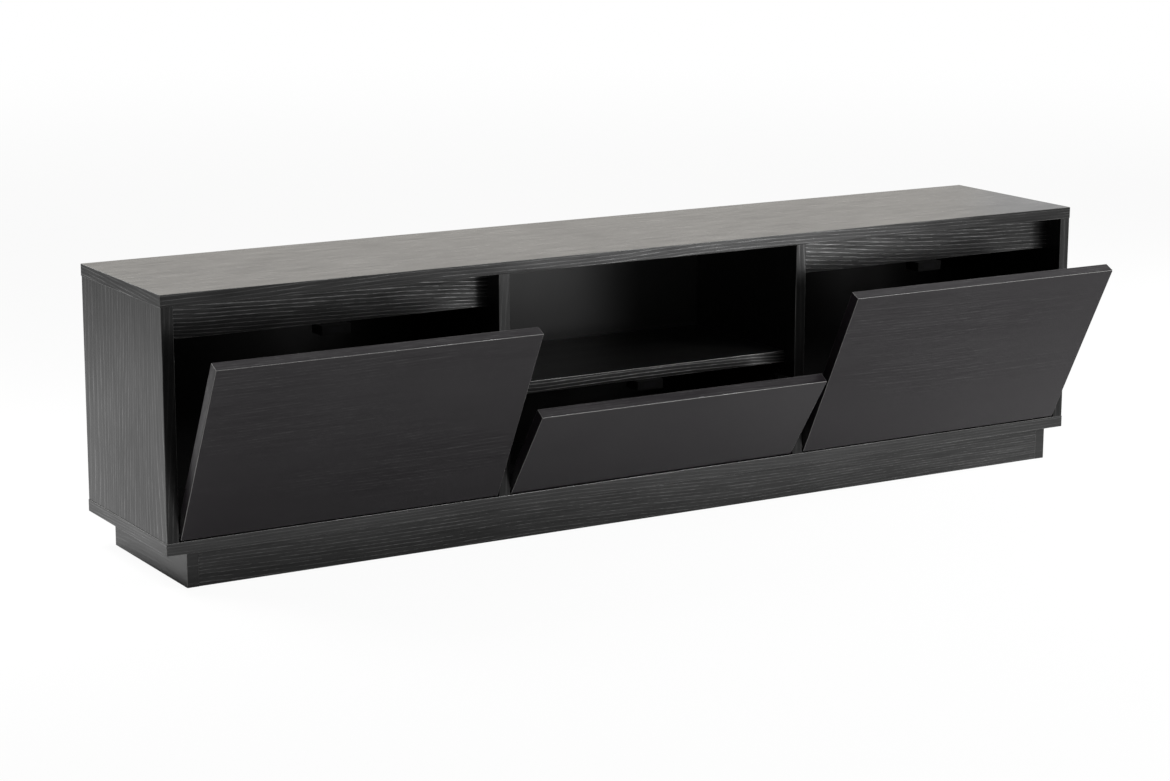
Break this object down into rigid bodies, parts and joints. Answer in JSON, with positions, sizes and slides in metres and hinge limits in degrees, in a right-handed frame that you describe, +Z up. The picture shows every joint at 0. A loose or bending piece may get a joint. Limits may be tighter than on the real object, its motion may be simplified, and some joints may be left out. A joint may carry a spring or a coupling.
{
  "type": "low media bench with fall flaps",
  "caption": "Low wide bench of black wood-grain board on a recessed plinth, with bottom-hung fall flaps, an open niche over a shelf, friction stays and magnetic catches.",
  "frame": {"origin": "on the floor under the middle of the carcass", "axes": "+Z up, +X along the width to the viewer's right, +Y from the front to the back"},
  "size_m": [1.6, 0.4249, 0.419],
  "materials": {
    "black_woodgrain": "black wood-grain melamine, embossed, satin",
    "back_board": "black hardboard, satin lacquer on the front, matt rear",
    "dowel_wood": "bare beech",
    "black_steel": "black powder coat",
    "zinc_steel": "zinc plated",
    "black_plastic": "moulded nylon",
    "magnet": "sintered ferrite"
  },
  "bodies": {
    "carcass": {"back_panel": "back_board", "bottom_panel": "black_woodgrain", "cam_bolts": "zinc_steel", "cam_locks": "zinc_steel", "carcass_dowels": "dowel_wood", "centre_catch": "black_plastic", "centre_catch_magnet": "magnet", "centre_frame_pivots": "black_steel", "centre_frame_screws": "black_steel", "centre_shelf": "black_woodgrain", "centre_stay_guide": "black_plastic", "left_catch": "black_plastic", "left_catch_magnet": "magnet", "left_divider": "black_woodgrain", "left_frame_pivots": "black_steel", "left_frame_screws": "black_steel", "left_rail": "black_woodgrain", "left_side_panel": "black_woodgrain", "left_stay_guide": "black_plastic", "plinth_back": "black_woodgrain", "plinth_bracket_screws": "zinc_steel", "plinth_brackets": "black_steel", "plinth_cross_rail": "black_woodgrain", "plinth_dowels": "dowel_wood", "plinth_front": "black_woodgrain", "plinth_left": "black_woodgrain", "plinth_right": "black_woodgrain", "rail_dowels": "dowel_wood", "right_catch": "black_plastic", "right_catch_magnet": "magnet", "right_divider": "black_woodgrain", "right_frame_pivots": "black_steel", "right_frame_screws": "black_steel", "right_rail": "black_woodgrain", "right_side_panel": "black_woodgrain", "right_stay_guide": "black_plastic", "shelf_screws": "zinc_steel", "top_panel": "black_woodgrain"},
    "left_flap_body": {"left_flap": "black_woodgrain", "left_flap_pivots": "black_steel", "left_stay_arm": "black_steel", "left_strike_plate": "zinc_steel", "left_flap_screws": "black_steel"},
    "centre_flap_body": {"centre_flap": "black_woodgrain", "centre_flap_pivots": "black_steel", "centre_stay_arm": "black_steel", "centre_strike_plate": "zinc_steel", "centre_flap_screws": "black_steel"},
    "right_flap_body": {"right_flap": "black_woodgrain", "right_flap_pivots": "black_steel", "right_stay_arm": "black_steel", "right_strike_plate": "zinc_steel", "right_flap_screws": "black_steel"}
  },
  "joints": [
    {"name": "left_flap_hinge", "type": "hinge", "parent": "carcass", "child": "left_flap_body", "pos_m": [-0.52667, -0.1405, 0.0785], "axis": [1, 0, 0], "range_deg": [-26.9, 43.1]},
    {"name": "centre_flap_hinge", "type": "hinge", "parent": "carcass", "child": "centre_flap_body", "pos_m": [0, -0.1405, 0.0785], "axis": [1, 0, 0], "range_deg": [-34.8, 35.2]},
    {"name": "right_flap_hinge", "type": "hinge", "parent": "carcass", "child": "right_flap_body", "pos_m": [0.52667, -0.1405, 0.0785], "axis": [1, 0, 0], "range_deg": [-26.9, 43.1]}
  ]
}
